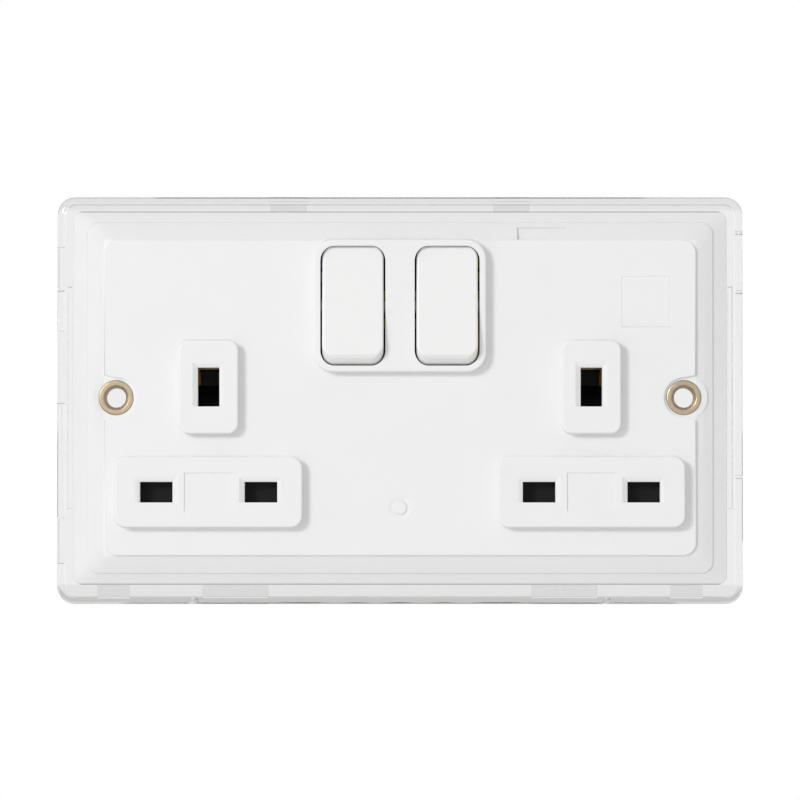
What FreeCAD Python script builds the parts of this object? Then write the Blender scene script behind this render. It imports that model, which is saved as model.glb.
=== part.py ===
"""Two-gang switched wall socket for square three-pin plugs, with a clip-on clear front plate.

Frame: X to the right and Z up as one looks at the front, Y into the wall. Y = 0 is the wall face,
and the origin is midway between the two fixing screws. All lengths are millimetres.
"""
import math
import os

import FreeCAD
import Part

V = FreeCAD.Vector
AXIS_X = V(1, 0, 0)
AXIS_Y = V(0, 1, 0)
AXIS_Z = V(0, 0, 1)

# Standard plug geometry
FIXING_PITCH = 120.6
PIN_PITCH = 22.2
PIN_RISE = 22.3
PIN_CORNER_CLEAR = 0.3
PIN_END_CLEAR = 0.7
EARTH_PIN_LENGTH = 22.7
LIVE_PIN_THICK = 4.0
EARTH_PIN_THICK = 4.0
EARTH_PIN_TALL = 8.0

# Clear front plate
PLATE_WIDTH = 145.6
PLATE_HEIGHT = 86.4
PLATE_Z = -0.6
PLATE_CORNER = 3.9
PLATE_PROUD = 8.0
PLATE_FACE = 2.0
PLATE_SKIRT = 1.5
PLATE_EDGE_ROUND = 1.4
CUTOUT_GAP = 0.15
SKIRT_NOTCHES_LEFT = ((-34.6, -24.9), (-0.6, 14.8), (23.3, 32.6))
SKIRT_SLOTS_RIGHT = (-16.2, 23.1, 35.7)
SKIRT_SLOT_WIDTH = 0.6
LOCATING_RIB_LENGTH = 47.0
LOCATING_RIB = 0.9
TOP_CLIP_X = 23.7
TOP_CLIP_WIDTH = 7.8
BOTTOM_CLIP_X = 35.0
BOTTOM_CLIP_WIDTH = 14.0
CLIP_HEIGHT = 1.4
RELEASE_LUG_X = 60.9
RELEASE_LUG_WIDTH = 7.0
RELEASE_LUG_DEPTH = 2.2
ARCH_X = 43.8
ARCH_WIDTH = 1.9
ARCH_DEPTH = 2.6
REAR_RECESS = (52.2, 20.4, 10.2, 10.8)
REAR_RECESS_DEPTH = 0.3

# White face moulding
FACE_WALL = 2.0
RIM_INSET_SIDE = 3.3
RIM_INSET_END = 3.45
RIM_CORNER = 2.1
TIER_INSET_SIDE = 3.0
TIER_INSET_END = 2.45
TIER_CORNER = 2.5
PANEL_INSET_SIDE = 3.6
PANEL_INSET_END = 3.75
PANEL_CORNER = 2.8
PANEL_GAP = 0.1
PANEL_STEP = 0.8
TIER_FALL = 0.9
TIER_BREAK = 0.3
TIER_STEP = 0.4
RIM_FALL = 0.9
SOFT_EDGE = 0.3

# Socket pads on the face moulding
SOCKET_X = 40.6
EARTH_Z = 2.2
PAD_PROUD = 1.0
PAD_EDGE = 0.5
EARTH_PAD = (12.7, 19.9, 2.2)
LIVE_PAD = (39.9, 15.1, 2.5)
EARTH_HOLE = (4.6, 8.3)
LIVE_HOLE = (6.95, 4.4)
HOLE_BEVEL = 1.1
HOLE_BEVEL_DEPTH = 0.7
PAD_RECESS = (10.4, 8.2)
PAD_RECESS_DEPTH = 0.3

# Switch pad and rockers
SWITCH_Z = 19.45
SWITCH_PAD = (36.7, 28.2, 4.2)
ROCKER_PITCH = 20.0
ROCKER_WIDTH = 13.0
ROCKER_GAP = 0.4
ROCKER_CORNER = 2.6
ROCKER_WALL = 1.5
ROCKER_EDGE = 0.5
ROCKER_SKIRT = 3.75
ROCKER_HALF_MOUTH = 12.3
ROCKER_CROWN = 0.9
ROCKER_FLAT = 23.0
ROCKER_BEVEL = 40.0
ROCKER_THROW = 19.0
PIVOT_BEHIND_PAD = 4.6
MOUTH_RELIEF = 0.6
TRUNNION_RADIUS = 1.5
TRUNNION_LENGTH = 1.4
TRUNNION_FIT = 0.05
CHEEK_RADIUS = 2.6
BEARING_LUG_WIDTH = 1.4
TRUNNION_END_GAP = 0.1
BEARING_LUG_TALL = 8.0

# Switch mechanism
PLUNGER_OFFSET = 2.4
PLUNGER_RADIUS = 1.1
PLUNGER_FIT = 0.06
PLUNGER_REACH = 12.0
PLUNGER_LENGTH = 11.0
PLUNGER_TUBE_WALL = 0.8
PLUNGER_TUBE_TAIL = 6.0
PLUNGER_SPRING_WIRE = 0.45
PLUNGER_SPRING_TURNS = 4
PLUNGER_SPRING_SEAT = 0.2
ARM_WIDTH = 3.0
ARM_THICK = 1.2
ARM_UP = 8.5
ARM_DOWN = 7.0
ARM_THROW = 12.0
ARM_GAP = 0.25
CONTACT_ARM_REACH = 7.0
CONTACT_RADIUS = 1.2
CONTACT_TIP = 0.8
CONTACT_GAP = 0.05
FULCRUM_GROOVE = 0.45
FULCRUM_GAP = 0.08
FULCRUM_BASE = 2.4

# Fixing bushes
BUSH_FLANGE_RADIUS = 3.75
BUSH_FLANGE = 0.7
BUSH_RADIUS = 3.0
BUSH_HOLE = 2.1
BUSH_MOUTH = 0.6
BUSH_BOSS_WALL = 2.0
NOTCH_RADIUS = 4.3
NOTCH_SPLAY = 5.6

# Small marks moulded in the face
DIMPLE_Z = -23.4
DIMPLE_RADIUS = 2.75
DIMPLE_DEPTH = 0.45
DIMPLE_PIP_RADIUS = 1.3
EDGE_RECESS = (30.0, 34.9, 10.2, 2.5)

# Shutters
SHUTTER_THICK = 1.4
SHUTTER_GAP = 0.2
SHUTTER_TRAVEL = 5.0
SHUTTER_HALF_WIDTH = 15.2
SHUTTER_LAP = 0.9
SHUTTER_STEM = 3.6
SHUTTER_WINDOW_EXTRA = 0.25
SHUTTER_BAR_TOP = -11.5
RAMP_WIDTH = 5.8
RAMP_RISE = 5.2
RAMP_TOP = 2.8
GUIDE_RIB = 1.0
GUIDE_GAP = 0.15
SPRING_LUG_Z = -8.5
SPRING_LUG = 1.5
SPRING_LUG_SIDE = 1.0
SHUTTER_SPRING_RADIUS = 1.25
SHUTTER_SPRING_WIRE = 0.4
SHUTTER_SPRING_TURNS = 8
PILLAR_OFFSET = 5.5
PILLAR_Z = -12.0
PILLAR_SIZE = 2.5

# Rear housing
HOUSING_WALL = 2.0
HOUSING_BOTTOM = -30.5
HOUSING_TOP = 33.0
HOUSING_HALF_WIDTH = 52.5
HOUSING_FOOT_HALF_WIDTH = 59.0
HOUSING_FOOT_TOP = -8.5
HOUSING_SHOULDER = 3.0
HOUSING_CORNER = 2.0
HOUSING_SPLIT = -1.5
DECK = 13.0
BACK_WALL = 3.0
HOUSING_SHALLOW = DECK + BACK_WALL
TERMINAL_BAY = 6.0
HOUSING_DEEP = HOUSING_SHALLOW + TERMINAL_BAY
HOUSING_DEEP_HALF_WIDTH = 26.0

# Current-carrying metalwork
STRIP = 1.0
STRIP_WIDTH = 2.0
LEAF = 0.8
LEAF_GRIP = 0.1
LEAF_MOUTH = 3.4
LEAF_FLARE = 0.9
LIVE_CLIP_WIDTH = 6.0
EARTH_CLIP_TALL = 7.0
EARTH_BASE = 10.6
INNER_RUN_Z = 26.45
OUTER_RUN_Z = 29.6
OUTER_LEG_X = 48.6
OUTER_JOG_Z = -13.0
LINE_BUS_Z = 16.4
NEUTRAL_BUS_Z = 22.4
NEUTRAL_LEG_X = 17.4
EARTH_STRAP_Z = -26.6
EARTH_STRAP_WIDTH = 3.0

# Terminals
TERMINAL_WIDTH = 8.0
TERMINAL_HEIGHT = 9.0
TERMINAL_DEPTH = 7.2
TERMINAL_X = 14.0
TERMINAL_Z = -4.0
EARTH_TERMINAL_X = 5.0
EARTH_TERMINAL_Z = -18.0
TERMINAL_FIT = 0.1
WIRE_HOLE_RADIUS = 2.0
WIRE_HOLE_DEPTH = 3.7
WIREWAY_WIDTH = 5.6
WIREWAY_FLOOR = 1.6
TERMINAL_SCREW_RADIUS = 1.75
TERMINAL_HEAD_RADIUS = 3.0
TERMINAL_HEAD = 1.3
SCREW_SLOT = 0.8
THREAD_FIT = 0.05

# Housing screws
HOUSING_SCREWS = ((21.5, -19.5), (38.0, 20.0))
HOUSING_SCREW_RADIUS = 1.5
HOUSING_SCREW_HEAD_RADIUS = 2.7
HOUSING_SCREW_HEAD = 1.6
SCREW_BOSS_RADIUS = 2.8
SCREW_SINK = 2.2
SCREW_BITE = 1.6
SCREW_TIP_GAP = 0.2

# Tiers of the moulding, each set in from the one outside it
RIM_WIDTH = PLATE_WIDTH - 2 * RIM_INSET_SIDE
RIM_HEIGHT = PLATE_HEIGHT - 2 * RIM_INSET_END
TIER_WIDTH = RIM_WIDTH - 2 * TIER_INSET_SIDE
TIER_HEIGHT = RIM_HEIGHT - 2 * TIER_INSET_END
PANEL_WIDTH = TIER_WIDTH - 2 * PANEL_INSET_SIDE
PANEL_HEIGHT = TIER_HEIGHT - 2 * PANEL_INSET_END

# Levels along Y, worked out from the sizes above
Y_PLATE = -PLATE_PROUD
Y_PLATE_BACK = Y_PLATE + PLATE_FACE
Y_PAD = Y_PLATE - PAD_PROUD
Y_PANEL = Y_PLATE_BACK + PANEL_GAP
Y_PANEL_FOOT = Y_PANEL + PANEL_STEP
Y_TIER = Y_PANEL_FOOT + TIER_FALL
Y_TIER_FOOT = Y_TIER + TIER_STEP
Y_RIM = Y_TIER_FOOT + RIM_FALL
Y_FACE_BACK = Y_PANEL + FACE_WALL
Y_SHUTTER = Y_FACE_BACK + SHUTTER_GAP
Y_SHUTTER_BACK = Y_SHUTTER + SHUTTER_THICK
Y_PIVOT = Y_PAD + PIVOT_BEHIND_PAD
Y_STRIP = DECK - STRIP
Y_EARTH_WELL = Y_PAD + EARTH_PIN_LENGTH + PIN_END_CLEAR
Y_ARM = Y_PIVOT + PLUNGER_REACH + ARM_GAP + ARM_THICK
LIVE_Z = EARTH_Z - PIN_RISE
ROCKER_SWEEP = math.hypot(ROCKER_HALF_MOUTH, PIVOT_BEHIND_PAD)
ROCKER_FACE = PIVOT_BEHIND_PAD + ROCKER_CROWN
HALF_THROW = ROCKER_THROW / 2
SIDES = (("left", -1), ("right", 1))
QUARTER_TURN = math.pi / 2
FAR = 200.0
OVERRUN = 1.0
LAP = 0.01
TOUCH = 1e-4


def box(x0, x1, y0, y1, z0, z1):
    """Block between two corners."""
    return Part.makeBox(x1 - x0, y1 - y0, z1 - z0, V(x0, y0, z0))


def cylinder_y(radius, x, z, y0, y1):
    """Round bar along Y."""
    return Part.makeCylinder(radius, y1 - y0, V(x, y0, z), AXIS_Y)


def cylinder_x(radius, y, z, x0, x1):
    """Round bar along X."""
    return Part.makeCylinder(radius, x1 - x0, V(x0, y, z), AXIS_X)


def cylinder_z(radius, x, y, z0, z1):
    """Round bar along Z."""
    return Part.makeCylinder(radius, z1 - z0, V(x, y, z0), AXIS_Z)


def rounded_outline(width, height, radius, x, z, y):
    """Closed rounded rectangle in the plane Y = y."""
    half_w = width / 2
    half_h = height / 2
    arcs = []
    for index, (side_x, side_z) in enumerate(((1, 1), (-1, 1), (-1, -1), (1, -1))):
        centre = V(x + side_x * (half_w - radius), y, z + side_z * (half_h - radius))
        points = []
        for step in (0, 1, 2):
            angle = QUARTER_TURN * (index + step / 2)
            points.append(centre + V(radius * math.cos(angle), 0, radius * math.sin(angle)))
        arcs.append(points)
    edges = []
    for index, arc in enumerate(arcs):
        following = arcs[(index + 1) % len(arcs)]
        edges.append(Part.Arc(arc[0], arc[1], arc[2]).toShape())
        edges.append(Part.makeLine(arc[2], following[0]))
    return Part.Wire(edges)


def rounded_block(width, height, radius, x, z, y_front, y_back, edge=0.0):
    """Rounded rectangular block whose front edge is rounded by edge."""
    face = Part.Face(rounded_outline(width, height, radius, x, z, y_front))
    block = face.extrude(V(0, y_back - y_front, 0))
    if edge > 0:
        rim = [item for item in block.Edges if item.BoundBox.YMax < y_front + TOUCH]
        block = block.makeFillet(edge, rim)
    return block


def stepped_loft(sections):
    """Solid through rounded rectangles (width, height, radius, y), with flat sides between them."""
    wires = [rounded_outline(w, h, r, 0, 0, y) for w, h, r, y in sections]
    faces = [Part.Face(wires[0]), Part.Face(wires[-1])]
    for first, second in zip(wires, wires[1:]):
        for near, far in zip(first.Edges, second.Edges):
            if near.Curve.TypeId == "Part::GeomLine":
                a, b = [vertex.Point for vertex in near.Vertexes]
                c, d = [vertex.Point for vertex in far.Vertexes]
                faces.append(Part.Face(Part.makePolygon([a, b, d, c, a])))
            else:
                faces.append(Part.makeRuledSurface(near, far))
    shell = Part.makeShell(faces)
    shell.sewShape()
    solid = Part.makeSolid(shell)
    return solid if solid.Volume > 0 else solid.reversed()


def extrude_yz(points, x0, x1):
    """Prism along X over a polygon of (y, z) points."""
    corners = [V(x0, y, z) for y, z in points]
    face = Part.Face(Part.makePolygon(corners + corners[:1]))
    return face.extrude(V(x1 - x0, 0, 0))


def extrude_xz(points, y0, y1):
    """Prism along Y over a polygon of (x, z) points."""
    corners = [V(x, y0, z) for x, z in points]
    face = Part.Face(Part.makePolygon(corners + corners[:1]))
    return face.extrude(V(0, y1 - y0, 0))


def extrude_xy(points, z0, z1):
    """Prism along Z over a polygon of (x, y) points."""
    corners = [V(x, y, z0) for x, y in points]
    face = Part.Face(Part.makePolygon(corners + corners[:1]))
    return face.extrude(V(0, 0, z1 - z0))


def union(shapes):
    """One solid from pieces that meet."""
    shapes = list(shapes)
    return shapes[0].fuse(shapes[1:]).removeSplitter() if len(shapes) > 1 else shapes[0]


def live_x(side, pole):
    """Centre of a live or neutral pin; pole is +1 for line, at the right of each socket."""
    return side * SOCKET_X + pole * PIN_PITCH / 2


def coil(radius, wire, length, turns):
    """Open coil spring along +Z from the origin."""
    helix = Part.makeHelix((length - wire) / turns, length - wire, radius)
    helix.translate(V(0, 0, wire / 2))
    start = V(radius, 0, wire / 2)
    section = Part.Wire(Part.makeCircle(wire / 2, start, AXIS_Y))
    return Part.Wire(helix.Edges).makePipeShell([section], True, True)


def plate_skirt():
    """Perimeter wall of the clear plate, with the gaps left for prising and moulding."""
    inner_w = PLATE_WIDTH - 2 * PLATE_SKIRT
    inner_h = PLATE_HEIGHT - 2 * PLATE_SKIRT
    outer = rounded_block(PLATE_WIDTH, PLATE_HEIGHT, PLATE_CORNER, 0, 0, Y_PLATE_BACK, 0)
    inner = rounded_block(inner_w, inner_h, PLATE_CORNER - PLATE_SKIRT, 0, 0, Y_PLATE_BACK, 0)
    skirt = outer.cut(inner)
    for z0, z1 in SKIRT_NOTCHES_LEFT:
        skirt = skirt.cut(box(-FAR, -inner_w / 2 + LAP, Y_PLATE_BACK, 0, z0, z1))
    for z in SKIRT_SLOTS_RIGHT:
        z0 = z - SKIRT_SLOT_WIDTH / 2
        z1 = z + SKIRT_SLOT_WIDTH / 2
        skirt = skirt.cut(box(inner_w / 2 - LAP, FAR, Y_PLATE_BACK, 0, z0, z1))
    for side in (-1, 1):
        x0 = side * ARCH_X - ARCH_WIDTH / 2
        x1 = side * ARCH_X + ARCH_WIDTH / 2
        arch = box(x0, x1, -ARCH_DEPTH, 0, -FAR, -inner_h / 2 + LAP)
        crown = cylinder_z(ARCH_WIDTH / 2, side * ARCH_X, -ARCH_DEPTH, -FAR, -inner_h / 2 + LAP)
        skirt = skirt.cut(arch).cut(crown)
    return skirt


def plate_grips():
    """Ribs, clips and lugs inside the skirt that hold the clear plate on the moulding."""
    top = PLATE_Z + PLATE_HEIGHT / 2 - PLATE_SKIRT
    bottom = PLATE_Z - PLATE_HEIGHT / 2 + PLATE_SKIRT
    rib = RIM_WIDTH / 2 + CUTOUT_GAP
    catch = RIM_HEIGHT / 2 + CUTOUT_GAP
    half_rib = LOCATING_RIB_LENGTH / 2
    pieces = []
    for side in (-1, 1):
        ends = sorted((side * rib, side * (rib + LOCATING_RIB)))
        pieces.append(box(ends[0], ends[1], Y_PLATE_BACK, Y_RIM, -half_rib, half_rib))
        x0 = side * TOP_CLIP_X - TOP_CLIP_WIDTH / 2
        pieces.append(box(x0, x0 + TOP_CLIP_WIDTH, -CLIP_HEIGHT, 0, catch, top))
        x0 = side * BOTTOM_CLIP_X - BOTTOM_CLIP_WIDTH / 2
        pieces.append(box(x0, x0 + BOTTOM_CLIP_WIDTH, -CLIP_HEIGHT, 0, bottom, -catch))
        x0 = side * RELEASE_LUG_X - RELEASE_LUG_WIDTH / 2
        pieces.append(box(x0, x0 + RELEASE_LUG_WIDTH, -RELEASE_LUG_DEPTH, 0, bottom, -catch))
    return pieces


def front_plate():
    """Clear plate: face with its cut-outs, skirt, ribs and clips, moulded in one."""
    face = rounded_block(PLATE_WIDTH, PLATE_HEIGHT, PLATE_CORNER, 0, 0,
                         Y_PLATE, Y_PLATE_BACK, PLATE_EDGE_ROUND)
    shell = union((face, plate_skirt()))
    shell.translate(V(0, 0, PLATE_Z))
    plate = union([shell] + plate_grips())
    width, height, corner = SWITCH_PAD
    grow = 2 * CUTOUT_GAP
    cut_y = Y_PLATE - OVERRUN
    cutters = [rounded_block(width + grow, height + grow, corner + CUTOUT_GAP,
                             0, SWITCH_Z, cut_y, Y_PLATE_BACK)]
    for side in (-1, 1):
        for size, z in ((EARTH_PAD, EARTH_Z), (LIVE_PAD, LIVE_Z)):
            width, height, corner = size
            cutters.append(rounded_block(width + grow, height + grow, corner + CUTOUT_GAP,
                                         side * SOCKET_X, z, cut_y, Y_PLATE_BACK))
    x, z, width, height = REAR_RECESS
    cutters.append(box(x - width / 2, x + width / 2, Y_PLATE_BACK - REAR_RECESS_DEPTH,
                       Y_PLATE_BACK, z - height / 2, z + height / 2))
    return plate.cut(Part.makeCompound(cutters))


def face_shell():
    """Tiered outer form of the white moulding, hollow behind."""
    mid_width = (PANEL_WIDTH + TIER_WIDTH) / 2
    mid_height = (PANEL_HEIGHT + TIER_HEIGHT) / 2
    mid_y = Y_PANEL_FOOT + TIER_FALL * TIER_BREAK
    rim = rounded_block(RIM_WIDTH, RIM_HEIGHT, RIM_CORNER, 0, 0, Y_RIM, 0)
    rim_slope = stepped_loft(((RIM_WIDTH, RIM_HEIGHT, RIM_CORNER, Y_RIM),
                              (TIER_WIDTH, TIER_HEIGHT, TIER_CORNER, Y_TIER_FOOT)))
    tier = rounded_block(TIER_WIDTH, TIER_HEIGHT, TIER_CORNER, 0, 0, Y_TIER, Y_TIER_FOOT)
    tier_slope = stepped_loft(((TIER_WIDTH, TIER_HEIGHT, TIER_CORNER, Y_TIER),
                               (mid_width, mid_height, TIER_CORNER, mid_y),
                               (PANEL_WIDTH, PANEL_HEIGHT, PANEL_CORNER, Y_PANEL_FOOT)))
    panel = rounded_block(PANEL_WIDTH, PANEL_HEIGHT, PANEL_CORNER, 0, 0,
                          Y_PANEL, Y_PANEL_FOOT, SOFT_EDGE)
    shell = union((rim, rim_slope, tier, tier_slope, panel))
    wall = 2 * FACE_WALL
    inner_corner = PANEL_CORNER / 2
    hollow = stepped_loft(((RIM_WIDTH - wall, RIM_HEIGHT - wall, inner_corner, 0),
                           (RIM_WIDTH - wall, RIM_HEIGHT - wall, inner_corner, Y_RIM + FACE_WALL),
                           (PANEL_WIDTH - wall, PANEL_HEIGHT - wall, inner_corner,
                            Y_PANEL_FOOT + FACE_WALL),
                           (PANEL_WIDTH - wall, PANEL_HEIGHT - wall, inner_corner, Y_FACE_BACK)))
    return shell.cut(hollow)


def housing_outline(inset):
    """Outline of the rear housing, shrunk by inset, as (x, z) points."""
    foot = HOUSING_FOOT_HALF_WIDTH - inset
    waist = HOUSING_HALF_WIDTH - inset
    right = ((foot, HOUSING_BOTTOM + inset),
             (foot, HOUSING_FOOT_TOP - inset),
             (waist, HOUSING_FOOT_TOP + HOUSING_SHOULDER - inset),
             (waist, HOUSING_TOP - inset))
    left = [(-x, z) for x, z in reversed(right)]
    return list(right) + left


def housing_body(inset, y0, y1):
    """Rounded prism over the housing outline."""
    body = extrude_xz(housing_outline(inset), y0, y1)
    upright = [item for item in body.Edges
               if item.BoundBox.YLength > abs(y1 - y0) - TOUCH]
    return body.makeFillet(HOUSING_CORNER - inset / 2, upright)


def seating_wall():
    """Wall behind the face that meets the rim of the rear housing."""
    outer = housing_body(0, Y_FACE_BACK, HOUSING_SPLIT)
    return outer.cut(housing_body(HOUSING_WALL, Y_FACE_BACK, HOUSING_SPLIT))


def bearing_lugs():
    """Lugs under the switch pad that carry the rocker trunnions."""
    side_clear = ROCKER_WIDTH / 2 + ROCKER_GAP
    inner_half = ROCKER_PITCH / 2 - side_clear
    outer = ROCKER_PITCH / 2 + side_clear
    spans = ((-inner_half, inner_half),
             (outer, outer + BEARING_LUG_WIDTH),
             (-outer - BEARING_LUG_WIDTH, -outer))
    half = BEARING_LUG_TALL / 2
    back = Y_PIVOT + CHEEK_RADIUS
    lugs = []
    for x0, x1 in spans:
        foot = box(x0, x1, Y_PAD + FACE_WALL, Y_PIVOT, SWITCH_Z - half, SWITCH_Z + half)
        tip = extrude_yz(((Y_PIVOT, SWITCH_Z - half),
                          (back, SWITCH_Z - half / 2),
                          (back, SWITCH_Z + half / 2),
                          (Y_PIVOT, SWITCH_Z + half)), x0, x1)
        lugs.append(union((foot, tip)))
    return lugs


def switch_pad():
    """Raised pad round the rockers, hollow behind."""
    width, height, corner = SWITCH_PAD
    wall = 2 * FACE_WALL
    pad = rounded_block(width, height, corner, 0, SWITCH_Z, Y_PAD, Y_FACE_BACK, PAD_EDGE)
    hollow = rounded_block(width - wall, height - wall, corner - FACE_WALL, 0, SWITCH_Z,
                           Y_PAD + FACE_WALL, Y_FACE_BACK)
    return pad, hollow


def barrel(half_width, sweep, corner):
    """Drum about the rocker pivot at the origin, with rounded corners in its section."""
    edge = half_width - corner
    shoulder = sweep - corner
    bend = corner * math.sqrt(0.5)
    section = Part.Wire([
        Part.makeLine(V(-half_width, 0, 0), V(-half_width, -shoulder, 0)),
        Part.Arc(V(-half_width, -shoulder, 0),
                 V(-edge - bend, -shoulder - bend, 0),
                 V(-edge, -sweep, 0)).toShape(),
        Part.makeLine(V(-edge, -sweep, 0), V(edge, -sweep, 0)),
        Part.Arc(V(edge, -sweep, 0),
                 V(edge + bend, -shoulder - bend, 0),
                 V(half_width, -shoulder, 0)).toShape(),
        Part.makeLine(V(half_width, -shoulder, 0), V(half_width, 0, 0)),
        Part.makeLine(V(half_width, 0, 0), V(-half_width, 0, 0))])
    return Part.Face(section).revolve(V(0, 0, 0), AXIS_X, 360)


def rocker_place(shape, side):
    """Turns a shape made about the pivot to the off position and puts it in place."""
    placed = shape.copy()
    placed.rotate(V(0, 0, 0), AXIS_X, -HALF_THROW)
    placed.translate(V(side * ROCKER_PITCH / 2, Y_PIVOT, SWITCH_Z))
    return placed


def rocker_mouth(side):
    """Space that a rocker sweeps through the switch pad, with its running gap."""
    drum = barrel(ROCKER_WIDTH / 2 + ROCKER_GAP, ROCKER_SWEEP + ROCKER_GAP,
                  ROCKER_CORNER + ROCKER_GAP)
    drum.translate(V(side * ROCKER_PITCH / 2, Y_PIVOT, SWITCH_Z))
    return drum.common(box(-FAR, FAR, -FAR, Y_FACE_BACK + MOUTH_RELIEF, -FAR, FAR))


def bevelled_hole(width, height, x, z):
    """Pin hole through a pad, with a bevel at its sides and top."""
    hole = box(x - width / 2, x + width / 2, Y_PAD - OVERRUN, 0, z - height / 2, z + height / 2)
    top = z + height / 2
    bottom = z - height / 2
    outer_x = width / 2 + HOLE_BEVEL
    mouth = ((x - outer_x, bottom), (x + outer_x, bottom),
             (x + outer_x, top + HOLE_BEVEL), (x - outer_x, top + HOLE_BEVEL))
    throat = ((x - width / 2, bottom), (x + width / 2, bottom),
              (x + width / 2, top), (x - width / 2, top))
    wires = []
    for points, y in ((mouth, Y_PAD), (throat, Y_PAD + HOLE_BEVEL_DEPTH)):
        corners = [V(px, y, pz) for px, pz in points]
        wires.append(Part.makePolygon(corners + corners[:1]))
    return hole, Part.makeLoft(wires, True, True)


def fixing_notch(side):
    """Level, splayed place round a fixing bush, open towards the plate's edge."""
    x = side * FIXING_PITCH / 2
    edge = side * (TIER_WIDTH / 2)
    well = cylinder_y(NOTCH_RADIUS, x, 0, Y_PANEL - OVERRUN, Y_PANEL_FOOT)
    splay = extrude_xz(((x, -NOTCH_RADIUS), (edge, -NOTCH_SPLAY),
                        (edge, NOTCH_SPLAY), (x, NOTCH_RADIUS)),
                       Y_PANEL - OVERRUN, Y_PANEL_FOOT)
    return well, splay


def shutter_guides(side):
    """Ribs behind the face that guide the edges of a shutter."""
    ribs = []
    for edge in (-1, 1):
        inner = SHUTTER_HALF_WIDTH + GUIDE_GAP
        centre = side * SOCKET_X
        span = sorted((centre + edge * inner, centre + edge * (inner + GUIDE_RIB)))
        ribs.append(box(span[0], span[1], Y_FACE_BACK, Y_SHUTTER_BACK,
                        HOUSING_BOTTOM + HOUSING_WALL, SHUTTER_BAR_TOP))
    return ribs


def dimple():
    """Shallow dish with a pip in its middle, moulded below the switches."""
    rise = Y_PANEL + DIMPLE_DEPTH
    pip = rise - DIMPLE_DEPTH / 2
    above = Y_PANEL - OVERRUN
    profile = Part.makePolygon([V(0, above, 0), V(0, pip, 0),
                                V(DIMPLE_PIP_RADIUS, pip, 0),
                                V(DIMPLE_PIP_RADIUS, rise, 0),
                                V(DIMPLE_RADIUS, Y_PANEL, 0),
                                V(DIMPLE_RADIUS, above, 0),
                                V(0, above, 0)])
    dish = Part.Face(profile).revolve(V(0, 0, 0), AXIS_Y, 360)
    dish.translate(V(0, 0, DIMPLE_Z))
    return dish


def face_moulding():
    """White face: tiers, pads, pin holes, rocker mouths, bush bosses, bearings and guides."""
    pad, pad_hollow = switch_pad()
    solids = [face_shell(), pad, seating_wall()]
    for side in (-1, 1):
        x = side * SOCKET_X
        for (width, height, corner), z in ((EARTH_PAD, EARTH_Z), (LIVE_PAD, LIVE_Z)):
            solids.append(rounded_block(width, height, corner, x, z, Y_PAD, Y_FACE_BACK, PAD_EDGE))
        solids += shutter_guides(side)
        boss = BUSH_RADIUS + BUSH_BOSS_WALL
        solids.append(cylinder_y(boss, side * FIXING_PITCH / 2, 0, Y_PANEL_FOOT, 0))
        for screw_x, screw_z in HOUSING_SCREWS:
            solids.append(cylinder_y(SCREW_BOSS_RADIUS, side * screw_x, screw_z,
                                     Y_FACE_BACK, HOUSING_SPLIT))
    body = union(solids).cut(pad_hollow)
    body = union([body] + bearing_lugs())
    bearing = (ROCKER_PITCH + ROCKER_WIDTH) / 2 + TRUNNION_LENGTH + TRUNNION_END_GAP
    cutters = [dimple(), cylinder_x(TRUNNION_RADIUS + TRUNNION_FIT, Y_PIVOT, SWITCH_Z,
                                    -bearing, bearing)]
    x, z, width, height = EDGE_RECESS
    cutters.append(box(x - width / 2, x + width / 2, Y_PANEL, Y_TIER, z - height / 2, z + height / 2))
    for side in (-1, 1):
        x = side * SOCKET_X
        cutters.append(rocker_mouth(side))
        cutters += bevelled_hole(*EARTH_HOLE, x, EARTH_Z)
        for pole in (-1, 1):
            cutters += bevelled_hole(*LIVE_HOLE, live_x(side, pole), LIVE_Z)
        width, height = PAD_RECESS
        cutters.append(box(x - width / 2, x + width / 2, Y_PAD, Y_PAD + PAD_RECESS_DEPTH,
                           LIVE_Z - height / 2, LIVE_Z + height / 2))
        cutters += fixing_notch(side)
        cutters += bush_seat(side)
        for screw_x, screw_z in HOUSING_SCREWS:
            cutters.append(cylinder_y(HOUSING_SCREW_RADIUS + THREAD_FIT, side * screw_x, screw_z,
                                      HOUSING_SPLIT - SCREW_BITE - SCREW_TIP_GAP, HOUSING_SPLIT))
    for cutter in cutters:
        body = body.cut(cutter)
    return body.removeSplitter()


def bush_seat(side):
    """Stepped hole in the moulding that a fixing bush is pressed into."""
    x = side * FIXING_PITCH / 2
    return (cylinder_y(BUSH_FLANGE_RADIUS, x, 0, Y_PANEL_FOOT - OVERRUN, Y_PANEL_FOOT + BUSH_FLANGE),
            cylinder_y(BUSH_RADIUS, x, 0, Y_PANEL_FOOT, LAP))


def fixing_bush(side):
    """Turned brass bush with a flange and a rolled mouth."""
    x = side * FIXING_PITCH / 2
    flange = cylinder_y(BUSH_FLANGE_RADIUS, x, 0, Y_PANEL_FOOT, Y_PANEL_FOOT + BUSH_FLANGE)
    tube = cylinder_y(BUSH_RADIUS, x, 0, Y_PANEL_FOOT, 0)
    bush = union((flange, tube))
    hole = cylinder_y(BUSH_HOLE, x, 0, Y_PANEL_FOOT, 0)
    mouth = Part.makeCone(BUSH_HOLE + BUSH_MOUTH, BUSH_HOLE, BUSH_MOUTH, V(x, Y_PANEL_FOOT, 0), AXIS_Y)
    bush = bush.cut(hole).cut(mouth)
    outer = [item for item in bush.Edges
             if item.BoundBox.YMax < Y_PANEL_FOOT + TOUCH
             and item.BoundBox.XLength > 2 * BUSH_FLANGE_RADIUS - TOUCH]
    return bush.makeFillet(BUSH_FLANGE / 2, outer)


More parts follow.
